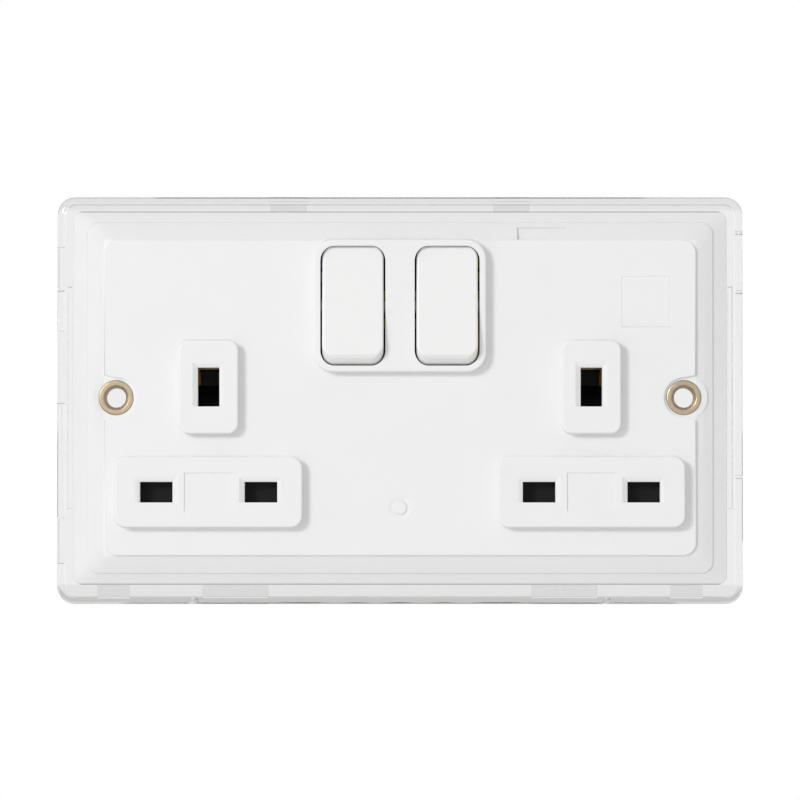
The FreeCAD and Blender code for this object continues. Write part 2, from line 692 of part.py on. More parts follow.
def rocker_blank():
    """Flat-faced block with bevelled ends that trims the rocker's drum."""
    back = -ROCKER_FACE + ROCKER_SKIRT
    half = ROCKER_FLAT / 2
    reach = half + ROCKER_SKIRT / math.tan(math.radians(ROCKER_BEVEL))
    return extrude_yz(((-ROCKER_FACE, -half), (back, -reach), (back, reach), (-ROCKER_FACE, half)),
                      -ROCKER_WIDTH, ROCKER_WIDTH)


def rocker(side):
    """Switch rocker: drum-shaped skirt, flat face, cheeks with trunnions, plunger tubes."""
    half = ROCKER_WIDTH / 2
    drum = barrel(half, ROCKER_SWEEP, ROCKER_CORNER)
    cap = drum.common(rocker_blank())
    rim = [item for item in cap.Edges if item.BoundBox.YMax < -ROCKER_FACE + TOUCH]
    cap = cap.makeFillet(ROCKER_EDGE, rim)
    hollow = barrel(half - ROCKER_WALL, ROCKER_SWEEP - ROCKER_WALL, ROCKER_CORNER - ROCKER_WALL)
    hollow = hollow.common(box(-FAR, FAR, -ROCKER_FACE + ROCKER_WALL, 0, -FAR, FAR))
    cap = cap.cut(hollow)
    pieces = [cap]
    back = -ROCKER_FACE + ROCKER_WALL
    for edge in (-1, 1):
        cheek_x = sorted((edge * half, edge * (half - ROCKER_WALL)))
        pieces.append(box(cheek_x[0], cheek_x[1], back, 0, -CHEEK_RADIUS, CHEEK_RADIUS))
        pieces.append(cylinder_x(CHEEK_RADIUS, 0, 0, cheek_x[0], cheek_x[1]))
        pin_x = sorted((edge * half, edge * (half + TRUNNION_LENGTH)))
        pieces.append(cylinder_x(TRUNNION_RADIUS, 0, 0, pin_x[0], pin_x[1]))
        tube = PLUNGER_RADIUS + PLUNGER_FIT + PLUNGER_TUBE_WALL
        pieces.append(cylinder_y(tube, edge * PLUNGER_OFFSET, 0, back, PLUNGER_TUBE_TAIL))
    body = union(pieces)
    for edge in (-1, 1):
        bore = cylinder_y(PLUNGER_RADIUS + PLUNGER_FIT, edge * PLUNGER_OFFSET, 0,
                          back + PLUNGER_SPRING_SEAT, PLUNGER_TUBE_TAIL)
        body = body.cut(bore)
    return rocker_place(body, side)


def plunger(side, edge):
    """Round-nosed plunger that rides in a rocker and presses a contact arm."""
    x = edge * PLUNGER_OFFSET
    shank = cylinder_y(PLUNGER_RADIUS, x, 0, PLUNGER_REACH - PLUNGER_LENGTH,
                       PLUNGER_REACH - PLUNGER_RADIUS)
    nose = Part.makeSphere(PLUNGER_RADIUS, V(x, PLUNGER_REACH - PLUNGER_RADIUS, 0))
    return rocker_place(union((shank, nose)), side)


def plunger_spring(side, edge):
    """Coil spring behind a plunger, inside the rocker's tube."""
    start = -ROCKER_FACE + ROCKER_WALL + PLUNGER_SPRING_SEAT
    length = PLUNGER_REACH - PLUNGER_LENGTH - start
    radius = PLUNGER_RADIUS - PLUNGER_SPRING_WIRE / 2 - PLUNGER_FIT
    spring = coil(radius, PLUNGER_SPRING_WIRE, length, PLUNGER_SPRING_TURNS)
    spring.rotate(V(0, 0, 0), AXIS_X, -90)
    spring.translate(V(edge * PLUNGER_OFFSET, start, 0))
    return rocker_place(spring, side)


def contact_arm(side, edge):
    """See-saw contact arm with a groove for its fulcrum, tilted to the off position."""
    half = ARM_WIDTH / 2
    blade = box(-half, half, -ARM_THICK, 0, -ARM_DOWN, ARM_UP)
    tip = cylinder_y(CONTACT_RADIUS, 0, CONTACT_ARM_REACH, 0, CONTACT_TIP)
    arm = union((blade, tip)).cut(cylinder_x(FULCRUM_GROOVE, 0, 0, -half, half))
    arm.rotate(V(0, 0, 0), AXIS_X, ARM_THROW / 2)
    arm.translate(V(side * ROCKER_PITCH / 2 + edge * PLUNGER_OFFSET, Y_ARM, SWITCH_Z))
    return arm


def strip_run(points, width, y0, y1):
    """Flat strip along straight runs between (x, z) points."""
    half = width / 2
    runs = []
    for (x0, z0), (x1, z1) in zip(points, points[1:]):
        runs.append(box(min(x0, x1) - half, max(x0, x1) + half, y0, y1,
                        min(z0, z1) - half, max(z0, z1) + half))
    return union(runs)


def leaf_section(grip, sign, y_base):
    """Section of one spring leaf with its flared mouth, as (y, offset) points."""
    inner = sign * grip
    outer = sign * (grip + LEAF)
    flare = sign * LEAF_FLARE
    return ((y_base, inner), (LEAF_MOUTH, inner), (LEAF_MOUTH - LEAF_FLARE, inner + flare),
            (LEAF_MOUTH - LEAF_FLARE, outer + flare), (LEAF_MOUTH, outer), (y_base, outer))


def live_contact(side, outer):
    """Line or neutral contact: a clip on the pin and a strip up to the switch."""
    pole = side if outer else -side
    x = live_x(side, pole)
    half = LIVE_CLIP_WIDTH / 2
    grip = LIVE_PIN_THICK / 2 - LEAF_GRIP
    leaves = []
    for sign in (-1, 1):
        section = [(y, LIVE_Z + z) for y, z in leaf_section(grip, sign, Y_STRIP)]
        leaves.append(extrude_yz(section, x - half, x + half))
    base = box(x - half, x + half, Y_STRIP, DECK, LIVE_Z - grip - LEAF, LIVE_Z + grip + LEAF)
    centre = side * ROCKER_PITCH / 2
    contact_z = SWITCH_Z + CONTACT_ARM_REACH
    if outer:
        end_x = centre - side * PLUNGER_OFFSET
        leg = side * OUTER_LEG_X
        points = ((x, LIVE_Z), (x, OUTER_JOG_Z), (leg, OUTER_JOG_Z), (leg, OUTER_RUN_Z),
                  (end_x, OUTER_RUN_Z), (end_x, contact_z))
    else:
        end_x = centre + side * PLUNGER_OFFSET
        points = ((x, LIVE_Z), (x, INNER_RUN_Z), (end_x, INNER_RUN_Z))
    strip = strip_run(points, STRIP_WIDTH, Y_STRIP, DECK)
    face = fixed_contact_face()
    stud = cylinder_y(CONTACT_RADIUS, end_x, contact_z, face, DECK)
    return union([base, strip, stud] + leaves)


def fixed_contact_face():
    """Level that the tip of a contact arm reaches when the switch is on."""
    tilt = math.radians(ARM_THROW / 2)
    reach = CONTACT_ARM_REACH + CONTACT_RADIUS
    return Y_ARM + CONTACT_TIP * math.cos(tilt) + reach * math.sin(tilt) + CONTACT_GAP


def busbar(bus_z, post_xs, run):
    """Busbar with a knife-edge fulcrum under each of its contact arms."""
    pieces = [strip_run(run, STRIP_WIDTH, Y_STRIP, DECK)]
    half = FULCRUM_BASE / 2
    for x in post_xs:
        pieces.append(strip_run(((x, bus_z), (x, SWITCH_Z)), STRIP_WIDTH, Y_STRIP, DECK))
        pieces.append(extrude_yz(((Y_STRIP + STRIP, SWITCH_Z - half),
                                  (Y_ARM - FULCRUM_GROOVE + FULCRUM_GAP, SWITCH_Z),
                                  (Y_STRIP + STRIP, SWITCH_Z + half)),
                                 x - STRIP_WIDTH / 2, x + STRIP_WIDTH / 2))
    return union(pieces)


def line_busbar():
    """Line busbar, from the line terminal to one arm of each switch."""
    posts = (-ROCKER_PITCH / 2 - PLUNGER_OFFSET, ROCKER_PITCH / 2 - PLUNGER_OFFSET)
    run = ((posts[1], LINE_BUS_Z), (-TERMINAL_X, LINE_BUS_Z), (-TERMINAL_X, TERMINAL_Z))
    return busbar(LINE_BUS_Z, posts, run)


def neutral_busbar():
    """Neutral busbar, from the neutral terminal to the other arm of each switch."""
    posts = (-ROCKER_PITCH / 2 + PLUNGER_OFFSET, ROCKER_PITCH / 2 + PLUNGER_OFFSET)
    run = ((posts[0], NEUTRAL_BUS_Z), (NEUTRAL_LEG_X, NEUTRAL_BUS_Z),
           (NEUTRAL_LEG_X, TERMINAL_Z), (TERMINAL_X, TERMINAL_Z))
    return busbar(NEUTRAL_BUS_Z, posts, run)


def earth_strap():
    """Earth strap that joins both earth contacts and both earth terminals."""
    run = ((-SOCKET_X, EARTH_Z), (-SOCKET_X, EARTH_STRAP_Z),
           (SOCKET_X, EARTH_STRAP_Z), (SOCKET_X, EARTH_Z))
    pieces = [strip_run(run, EARTH_STRAP_WIDTH, Y_STRIP, DECK)]
    for side in (-1, 1):
        leg = side * EARTH_TERMINAL_X
        pieces.append(strip_run(((leg, EARTH_STRAP_Z), (leg, EARTH_TERMINAL_Z)),
                                EARTH_STRAP_WIDTH, Y_STRIP, DECK))
        half = EARTH_BASE / 2
        x = side * SOCKET_X
        pieces.append(box(x - half, x + half, Y_STRIP, DECK, EARTH_Z - half, EARTH_Z + half))
    strap = union(pieces)
    for side in (-1, 1):
        strap = strap.cut(earth_pin_hole(side))
    return strap


def earth_pin_hole(side):
    """Clear way for the end of the earth pin."""
    half_w = EARTH_PIN_THICK / 2 + PIN_CORNER_CLEAR
    half_h = EARTH_PIN_TALL / 2 + PIN_CORNER_CLEAR
    x = side * SOCKET_X
    return box(x - half_w, x + half_w, 0, Y_EARTH_WELL, EARTH_Z - half_h, EARTH_Z + half_h)


def earth_contact(side):
    """Earth contact: two flared leaves standing on a base round the pin's way."""
    x = side * SOCKET_X
    half = EARTH_BASE / 2
    base_y = Y_STRIP - LEAF
    grip = EARTH_PIN_THICK / 2 - LEAF_GRIP
    base = box(x - half, x + half, base_y, Y_STRIP, EARTH_Z - half, EARTH_Z + half)
    base = base.cut(earth_pin_hole(side))
    pieces = [base]
    for sign in (-1, 1):
        section = [(x + offset, y) for y, offset in leaf_section(grip, sign, Y_STRIP)]
        leaf = extrude_xy(section, EARTH_Z - EARTH_CLIP_TALL / 2, EARTH_Z + EARTH_CLIP_TALL / 2)
        pieces.append(leaf)
    return union(pieces)


def shutter(side):
    """Sliding shutter: bar over the live holes, stem, ramp behind the earth hole, spring lug."""
    x = side * SOCKET_X
    width, height = LIVE_HOLE
    bar_bottom = LIVE_Z - height / 2 - SHUTTER_LAP
    half = SHUTTER_HALF_WIDTH
    ramp_bottom = RAMP_TOP - RAMP_RISE
    bar = box(x - half, x + half, Y_SHUTTER, Y_SHUTTER_BACK, bar_bottom, SHUTTER_BAR_TOP)
    stem = box(x - SHUTTER_STEM, x + SHUTTER_STEM, Y_SHUTTER, Y_SHUTTER_BACK,
               SHUTTER_BAR_TOP - OVERRUN, ramp_bottom + OVERRUN)
    ramp = extrude_yz(((Y_SHUTTER, ramp_bottom), (Y_SHUTTER + RAMP_RISE, RAMP_TOP),
                       (Y_SHUTTER + RAMP_RISE, ramp_bottom)),
                      x - RAMP_WIDTH / 2, x + RAMP_WIDTH / 2)
    stem = stem.cut(box(x - FAR, x + FAR, Y_SHUTTER, 0, ramp_bottom, FAR))
    half_lug = SHUTTER_SPRING_RADIUS + SPRING_LUG_SIDE
    lug = box(x - half_lug, x + half_lug, Y_SHUTTER_BACK - LAP,
              spring_y() + SHUTTER_SPRING_RADIUS, SPRING_LUG_Z, SPRING_LUG_Z + SPRING_LUG)
    body = union((bar, stem, ramp, lug))
    grow = SHUTTER_WINDOW_EXTRA
    for pole in (-1, 1):
        centre = live_x(side, pole)
        window_z = LIVE_Z + SHUTTER_TRAVEL
        body = body.cut(box(centre - width / 2 - grow, centre + width / 2 + grow,
                            Y_SHUTTER - OVERRUN, Y_SHUTTER_BACK + OVERRUN,
                            window_z - height / 2, window_z + height / 2 + grow))
    return body


def spring_y():
    """Centre line of a shutter spring, just clear of the shutter's back."""
    return Y_SHUTTER_BACK + SHUTTER_SPRING_RADIUS + SHUTTER_SPRING_WIRE / 2 + SHUTTER_GAP


def shutter_spring(side):
    """Return spring between the seating wall and the shutter's lug."""
    foot = HOUSING_BOTTOM + HOUSING_WALL
    spring = coil(SHUTTER_SPRING_RADIUS, SHUTTER_SPRING_WIRE, SPRING_LUG_Z - foot,
                  SHUTTER_SPRING_TURNS)
    spring.translate(V(side * SOCKET_X, spring_y(), foot))
    return spring


def terminal_places():
    """Name and place of each terminal."""
    return (("line", -TERMINAL_X, TERMINAL_Z),
            ("neutral", TERMINAL_X, TERMINAL_Z),
            ("earth_left", -EARTH_TERMINAL_X, EARTH_TERMINAL_Z),
            ("earth_right", EARTH_TERMINAL_X, EARTH_TERMINAL_Z))


def rear_housing():
    """Rear housing: walls, deck for the metalwork, terminal windows and wire ways."""
    deep = HOUSING_DEEP_HALF_WIDTH
    shallow_part = housing_body(0, HOUSING_SPLIT, HOUSING_SHALLOW)
    deep_part = rounded_block(2 * deep, HOUSING_TOP - HOUSING_BOTTOM, HOUSING_CORNER, 0,
                              (HOUSING_TOP + HOUSING_BOTTOM) / 2, DECK, HOUSING_DEEP)
    body = union((shallow_part, deep_part))
    body = body.cut(housing_body(HOUSING_WALL, HOUSING_SPLIT, DECK))
    for side in (-1, 1):
        for screw_x, screw_z in HOUSING_SCREWS:
            boss = cylinder_y(SCREW_BOSS_RADIUS, side * screw_x, screw_z, HOUSING_SPLIT, DECK)
            body = body.fuse(boss)
        for edge in (-1, 1):
            x = side * SOCKET_X + edge * PILLAR_OFFSET
            half = PILLAR_SIZE / 2
            body = body.fuse(box(x - half, x + half, Y_SHUTTER_BACK + SHUTTER_GAP, DECK,
                                 PILLAR_Z - half, PILLAR_Z + half))
    cutters = []
    for side in (-1, 1):
        cutters.append(earth_pin_hole(side))
        for screw_x, screw_z in HOUSING_SCREWS:
            rear = screw_rear(screw_x)
            cutters.append(cylinder_y(HOUSING_SCREW_RADIUS + THREAD_FIT, side * screw_x, screw_z,
                                      HOUSING_SPLIT, rear))
            cutters.append(cylinder_y(HOUSING_SCREW_HEAD_RADIUS + 2 * THREAD_FIT,
                                      side * screw_x, screw_z, rear - SCREW_SINK, rear))
    half_w = TERMINAL_WIDTH / 2 + TERMINAL_FIT
    half_h = TERMINAL_HEIGHT / 2 + TERMINAL_FIT
    for _, x, z in terminal_places():
        cutters.append(box(x - half_w, x + half_w, DECK, HOUSING_DEEP, z - half_h, z + half_h))
        cutters.append(box(x - WIREWAY_WIDTH / 2, x + WIREWAY_WIDTH / 2, DECK + WIREWAY_FLOOR,
                           HOUSING_DEEP, HOUSING_BOTTOM, z))
    for cutter in cutters:
        body = body.cut(cutter)
    return body.removeSplitter()


def screw_rear(screw_x):
    """Level of the housing's back at a screw."""
    return HOUSING_DEEP if screw_x < HOUSING_DEEP_HALF_WIDTH else HOUSING_SHALLOW


def slotted_screw(x, z, y_tip, y_seat, shank_radius, head_radius, head_height):
    """Screw with its tip forward and a slotted head seated at y_seat."""
    shank = cylinder_y(shank_radius, x, z, y_tip, y_seat)
    head = cylinder_y(head_radius, x, z, y_seat, y_seat + head_height)
    rim = [item for item in head.Edges if item.BoundBox.YMin > y_seat + head_height - TOUCH]
    head = head.makeFillet(head_height / 4, rim)
    slot = box(x - FAR, x + FAR, y_seat + head_height / 2, y_seat + head_height + OVERRUN,
               z - SCREW_SLOT / 2, z + SCREW_SLOT / 2)
    return union((shank, head)).cut(slot)


def housing_screws():
    """Screws from the back that hold the housing to the face moulding."""
    screws = []
    for side in (-1, 1):
        for screw_x, screw_z in HOUSING_SCREWS:
            seat = screw_rear(screw_x) - SCREW_SINK
            screws.append(slotted_screw(side * screw_x, screw_z, HOUSING_SPLIT - SCREW_BITE, seat,
                                        HOUSING_SCREW_RADIUS, HOUSING_SCREW_HEAD_RADIUS,
                                        HOUSING_SCREW_HEAD))
    return Part.makeCompound(screws)


def terminal(x, z):
    """Brass terminal block with a wire hole across it and a tapped hole from the back."""
    half_w = TERMINAL_WIDTH / 2
    half_h = TERMINAL_HEIGHT / 2
    rear = DECK + TERMINAL_DEPTH
    block = box(x - half_w, x + half_w, DECK, rear, z - half_h, z + half_h)
    upright = [item for item in block.Edges if item.BoundBox.YLength > TERMINAL_DEPTH - TOUCH]
    block = block.makeChamfer(SOFT_EDGE, upright)
    wire_y = DECK + WIRE_HOLE_DEPTH
    wire = cylinder_z(WIRE_HOLE_RADIUS, x, wire_y, z - TERMINAL_HEIGHT, z + TERMINAL_HEIGHT)
    tapped = cylinder_y(TERMINAL_SCREW_RADIUS + THREAD_FIT, x, z, wire_y, rear)
    return block.cut(wire).cut(tapped)


def terminal_screw(x, z):
    """Terminal screw, backed out of the wire hole."""
    seat = DECK + TERMINAL_DEPTH
    tip = DECK + WIRE_HOLE_DEPTH + WIRE_HOLE_RADIUS
    return slotted_screw(x, z, tip, seat, TERMINAL_SCREW_RADIUS, TERMINAL_HEAD_RADIUS, TERMINAL_HEAD)


def all_nodes():
    """Every piece of the socket by name."""
    nodes = {"front_plate": front_plate(),
             "face_moulding": face_moulding(),
             "rear_housing": rear_housing(),
             "housing_screws": housing_screws(),
             "line_busbar": line_busbar(),
             "neutral_busbar": neutral_busbar(),
             "earth_strap": earth_strap()}
    for name, side in SIDES:
        nodes["fixing_bush_" + name] = fixing_bush(side)
        nodes["rocker_" + name] = rocker(side)
        nodes["shutter_" + name] = shutter(side)
        nodes["shutter_spring_" + name] = shutter_spring(side)
        nodes["earth_contact_" + name] = earth_contact(side)
        for outer in (True, False):
            polarity = "line" if outer == (side > 0) else "neutral"
            nodes[polarity + "_contact_" + name] = live_contact(side, outer)
            edge = -side if outer else side
            nodes[polarity + "_arm_" + name] = contact_arm(side, edge)
            nodes[polarity + "_plunger_" + name] = plunger(side, edge)
            nodes[polarity + "_plunger_spring_" + name] = plunger_spring(side, edge)
    for name, x, z in terminal_places():
        nodes[name + "_terminal"] = terminal(x, z)
        nodes[name + "_terminal_screw"] = terminal_screw(x, z)
    return nodes


os.makedirs("parts", exist_ok=True)
for node_name, shape in all_nodes().items():
    shape.exportStep("parts/" + node_name + ".step")
    print(node_name, len(shape.Solids), round(shape.Volume, 1), shape.isValid())
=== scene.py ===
import math

import bmesh
import bpy
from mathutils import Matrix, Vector


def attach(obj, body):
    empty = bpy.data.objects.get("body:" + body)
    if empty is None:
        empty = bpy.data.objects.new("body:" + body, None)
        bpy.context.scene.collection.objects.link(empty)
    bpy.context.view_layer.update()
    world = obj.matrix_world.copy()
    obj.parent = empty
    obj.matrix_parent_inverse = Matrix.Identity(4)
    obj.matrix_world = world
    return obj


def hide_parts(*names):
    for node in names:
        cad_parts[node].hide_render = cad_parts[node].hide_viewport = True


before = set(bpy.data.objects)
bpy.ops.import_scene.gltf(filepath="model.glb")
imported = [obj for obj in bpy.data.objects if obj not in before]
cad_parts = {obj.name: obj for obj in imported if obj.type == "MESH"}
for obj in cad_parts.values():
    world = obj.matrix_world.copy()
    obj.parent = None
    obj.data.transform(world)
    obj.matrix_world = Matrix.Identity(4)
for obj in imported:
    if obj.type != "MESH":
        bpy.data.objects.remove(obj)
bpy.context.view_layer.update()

scene = bpy.context.scene


# Rear housing

# Black thermoset moulding that closes the back and carries the metalwork. It is
# compression moulded, so it is dull, slightly mottled, and its edges are broken.

MM = 0.001
HOUSING_EDGE = 0.15 * MM
FLOW_PATCH = 6 * MM
POWDER_GRAIN = 0.25 * MM
POWDER_RELIEF = 0.02 * MM

# Corners of a CAD mesh that are this close become one, and faces this flat to each
# other become one. An edge that turns more than SHARP stays sharp or gets broken.
# A face whose normal has more than BACK_FACING of Y looks to the back.
SAME_PLACE = 0.001 * MM
FLAT = math.radians(0.2)
SHARP = math.radians(28)
BACK_FACING = 0.3


def linear(colour):
    """Linear RGBA of an sRGB hex colour."""
    parts = [int(colour[at:at + 2], 16) / 255 for at in (1, 3, 5)]
    return [p / 12.92 if p < 0.04045 else ((p + 0.055) / 1.055) ** 2.4 for p in parts] + [1.0]


def add_node(tree, kind, inputs=None, **settings):
    """Adds a shader node, sets its properties, and sets or links its inputs.

    An input goes by its name, or by its number where a node has the name twice.
    """
    node = tree.nodes.new(kind)
    for name, value in settings.items():
        setattr(node, name, value)
    for name, value in (inputs or {}).items():
        if isinstance(value, bpy.types.NodeSocket):
            tree.links.new(value, node.inputs[name])
        else:
            node.inputs[name].default_value = value
    return node


def new_material(name):
    """A material with an empty node tree."""
    material = bpy.data.materials.new(name)
    material.use_nodes = True
    material.node_tree.nodes.clear()
    return material, material.node_tree


def dressed(name, body, material, edge_width=0.0, chosen=None):
    """Puts a merged, smooth-shaded copy of a CAD piece in its place, with broken edges.

    Without a width the edges stay as the CAD has them. Where chosen is given, an edge
    is broken only if it isn't at the back and chosen says yes to both its ends.
    """
    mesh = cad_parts[name].data.copy()
    bm = bmesh.new()
    bm.from_mesh(mesh)
    bmesh.ops.remove_doubles(bm, verts=bm.verts, dist=SAME_PLACE)
    bmesh.ops.dissolve_limit(bm, angle_limit=FLAT, verts=bm.verts, edges=bm.edges)
    if chosen:
        weight = bm.edges.layers.float.new("bevel_weight_edge")
        for edge in bm.edges:
            front = all(face.normal.y < BACK_FACING for face in edge.link_faces)
            if front and len(edge.link_faces) == 2 and edge.calc_face_angle() > SHARP:
                edge[weight] = float(all(chosen(vertex.co) for vertex in edge.verts))
    bm.to_mesh(mesh)
    bm.free()
    mesh.shade_smooth()
    mesh.set_sharp_from_angle(angle=SHARP)
    mesh.materials.clear()
    mesh.materials.append(material)
    piece = bpy.data.objects.new(name + "_finished", mesh)
    scene.collection.objects.link(piece)
    if edge_width > 0:
        bevel = piece.modifiers.new("broken edges", "BEVEL")
        bevel.width = edge_width
        bevel.segments = 2
        bevel.limit_method = "WEIGHT" if chosen else "ANGLE"
        bevel.angle_limit = SHARP
        bevel.use_clamp_overlap = False
        bevel.harden_normals = True
    normals = piece.modifiers.new("even faces", "WEIGHTED_NORMAL")
    normals.keep_sharp = True
    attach(piece, body)
    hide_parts(name)


def finish_cad(name, material):
    """Gives a CAD piece that stays as it is its material."""
    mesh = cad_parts[name].data
    mesh.materials.clear()
    mesh.materials.append(material)


# Moulded black thermoset: dull, with faint cloudy patches where the powder flowed.
black_thermoset, tree = new_material("black thermoset, compression moulded")
place = add_node(tree, "ShaderNodeTexCoord")
cloud = add_node(tree, "ShaderNodeTexNoise",
                 {"Vector": place.outputs["Object"], "Scale": 1 / FLOW_PATCH, "Detail": 3.0})
tone = add_node(tree, "ShaderNodeValToRGB", {"Fac": cloud.outputs["Fac"]})
tone.color_ramp.elements[0].color = linear("#19191A")
tone.color_ramp.elements[1].color = linear("#232324")
gloss = add_node(tree, "ShaderNodeMapRange",
                 {"Value": cloud.outputs["Fac"], "To Min": 0.36, "To Max": 0.5})
grain = add_node(tree, "ShaderNodeTexNoise",
                 {"Vector": place.outputs["Object"], "Scale": 1 / POWDER_GRAIN, "Detail": 2.0})
relief = add_node(tree, "ShaderNodeBump",
                  {"Height": grain.outputs["Fac"], "Strength": 0.35,
                   "Distance": POWDER_RELIEF})
shader = add_node(tree, "ShaderNodeBsdfPrincipled",
                  {"Base Color": tone.outputs["Color"], "Roughness": gloss.outputs["Result"],
                   "IOR": 1.55, "Normal": relief.outputs["Normal"]})
add_node(tree, "ShaderNodeOutputMaterial", {"Surface": shader.outputs["BSDF"]})

dressed("rear_housing", "root", black_thermoset, HOUSING_EDGE)


# Strip metalwork

# Contacts, busbars, the earth strap and the switches' arms are stamped from rolled
# brass strip and bent. They stand in the housing, the arms on the busbars.

STRIP_LINE = 0.12 * MM
STRIP_STRETCH = 0.08
STRIP_RELIEF = 0.005 * MM
TARNISH_PATCH = 4 * MM

# Rolled brass: fine lines along the strip, drawn STRIP_STRETCH as dense along it as
# across it, and a light tarnish in patches.
rolled_brass, tree = new_material("brass strip, rolled and stamped")
place = add_node(tree, "ShaderNodeTexCoord")
stretch = add_node(tree, "ShaderNodeMapping",
                   {"Vector": place.outputs["Object"], "Scale": (1.0, 1.0, STRIP_STRETCH)})
lines = add_node(tree, "ShaderNodeTexNoise",
                 {"Vector": stretch.outputs["Vector"], "Scale": 1 / STRIP_LINE, "Detail": 2.0})
tarnish = add_node(tree, "ShaderNodeTexNoise",
                   {"Vector": place.outputs["Object"], "Scale": 1 / TARNISH_PATCH,
                    "Detail": 3.0})
tone = add_node(tree, "ShaderNodeValToRGB", {"Fac": tarnish.outputs["Fac"]})
tone.color_ramp.elements[0].color = linear("#C29A55")
tone.color_ramp.elements[1].color = linear("#DDBA74")
gloss = add_node(tree, "ShaderNodeMapRange",
                 {"Value": lines.outputs["Fac"], "To Min": 0.22, "To Max": 0.38})
relief = add_node(tree, "ShaderNodeBump",
                  {"Height": lines.outputs["Fac"], "Strength": 0.3, "Distance": STRIP_RELIEF})
shader = add_node(tree, "ShaderNodeBsdfPrincipled",
                  {"Base Color": tone.outputs["Color"], "Metallic": 1.0,
                   "Roughness": gloss.outputs["Result"], "Normal": relief.outputs["Normal"]})
add_node(tree, "ShaderNodeOutputMaterial", {"Surface": shader.outputs["BSDF"]})

for strip in ("earth_strap", "line_busbar", "neutral_busbar", "earth_contact_left",
              "earth_contact_right", "line_contact_left", "line_contact_right",
              "neutral_contact_left", "neutral_contact_right"):
    finish_cad(strip, rolled_brass)
for side in ("left", "right"):
    for pole in ("line", "neutral"):
        finish_cad(pole + "_arm_" + side, rolled_brass)


# Terminals

# Four sawn and drilled brass blocks, each with a slotted screw that clamps the wire.
# The screws are steel, zinc plated against rust.

TERMINAL_EDGE = 0.12 * MM
SCREW_EDGE = 0.08 * MM
SAW_LINE = 0.2199 * MM
SAW_RELIEF = 0.01 * MM
ZINC_PATCH = 0.8 * MM

# A wave texture of scale 1 repeats at this distance.
WAVE_SPACING = math.pi / 10

# Sawn brass: faint level lines where the saw passed.
sawn_brass, tree = new_material("brass bar, sawn and drilled")
place = add_node(tree, "ShaderNodeTexCoord")
saw = add_node(tree, "ShaderNodeTexWave",
               {"Vector": place.outputs["Object"], "Scale": WAVE_SPACING / SAW_LINE,
                "Distortion": 1.5, "Detail": 2.0}, bands_direction="Z")
gloss = add_node(tree, "ShaderNodeMapRange",
                 {"Value": saw.outputs["Fac"], "To Min": 0.24, "To Max": 0.34})
relief = add_node(tree, "ShaderNodeBump",
                  {"Height": saw.outputs["Fac"], "Strength": 0.25, "Distance": SAW_RELIEF})
shader = add_node(tree, "ShaderNodeBsdfPrincipled",
                  {"Base Color": linear("#D8B468"), "Metallic": 1.0,
                   "Roughness": gloss.outputs["Result"], "Normal": relief.outputs["Normal"]})
add_node(tree, "ShaderNodeOutputMaterial", {"Surface": shader.outputs["BSDF"]})

# Zinc plate: a pale metal, a little blue, that shines unevenly.
zinc_plate, tree = new_material("steel, zinc plated")
place = add_node(tree, "ShaderNodeTexCoord")
patch = add_node(tree, "ShaderNodeTexNoise",
                 {"Vector": place.outputs["Object"], "Scale": 1 / ZINC_PATCH, "Detail": 4.0})
tone = add_node(tree, "ShaderNodeValToRGB", {"Fac": patch.outputs["Fac"]})
tone.color_ramp.elements[0].color = linear("#AEB3B8")
tone.color_ramp.elements[1].color = linear("#CDCFCD")
gloss = add_node(tree, "ShaderNodeMapRange",
                 {"Value": patch.outputs["Fac"], "To Min": 0.22, "To Max": 0.4})
shader = add_node(tree, "ShaderNodeBsdfPrincipled",
                  {"Base Color": tone.outputs["Color"], "Metallic": 1.0,
                   "Roughness": gloss.outputs["Result"]})
add_node(tree, "ShaderNodeOutputMaterial", {"Surface": shader.outputs["BSDF"]})

for terminal in ("line", "neutral", "earth_left", "earth_right"):
    dressed(terminal + "_terminal", "root", sawn_brass, TERMINAL_EDGE)
    dressed(terminal + "_terminal_screw", "root", zinc_plate, SCREW_EDGE)


# Shutters

# Each socket has one black nylon slide behind its pin holes. It is injection moulded
# in a spark-eroded die, and slides down against its spring.

SHUTTER_EDGE = 0.1 * MM
SHEEN_PATCH = 1.5 * MM
SHUTTER_RELIEF = 0.01 * MM

# Black nylon from an eroded die: very dark and dull, so the holes look deep.
black_nylon, tree = new_material("black nylon, injection moulded")
place = add_node(tree, "ShaderNodeTexCoord")
sheen = add_node(tree, "ShaderNodeTexNoise",
                 {"Vector": place.outputs["Object"], "Scale": 1 / SHEEN_PATCH, "Detail": 3.0})
gloss = add_node(tree, "ShaderNodeMapRange",
                 {"Value": sheen.outputs["Fac"], "To Min": 0.5, "To Max": 0.62})
relief = add_node(tree, "ShaderNodeBump",
                  {"Height": sheen.outputs["Fac"], "Strength": 0.2,
                   "Distance": SHUTTER_RELIEF})
shader = add_node(tree, "ShaderNodeBsdfPrincipled",
                  {"Base Color": linear("#080809"), "Roughness": gloss.outputs["Result"],
                   "IOR": 1.53, "Specular IOR Level": 0.2,
                   "Normal": relief.outputs["Normal"]})
add_node(tree, "ShaderNodeOutputMaterial", {"Surface": shader.outputs["BSDF"]})

for side in ("left", "right"):
    dressed("shutter_" + side, "shutter_" + side, black_nylon, SHUTTER_EDGE)


# Springs

# Coils of hard-drawn steel wire: two return springs under the shutters and four small
# ones inside the rockers, behind the plungers.

WIRE_MARK = 0.2 * MM

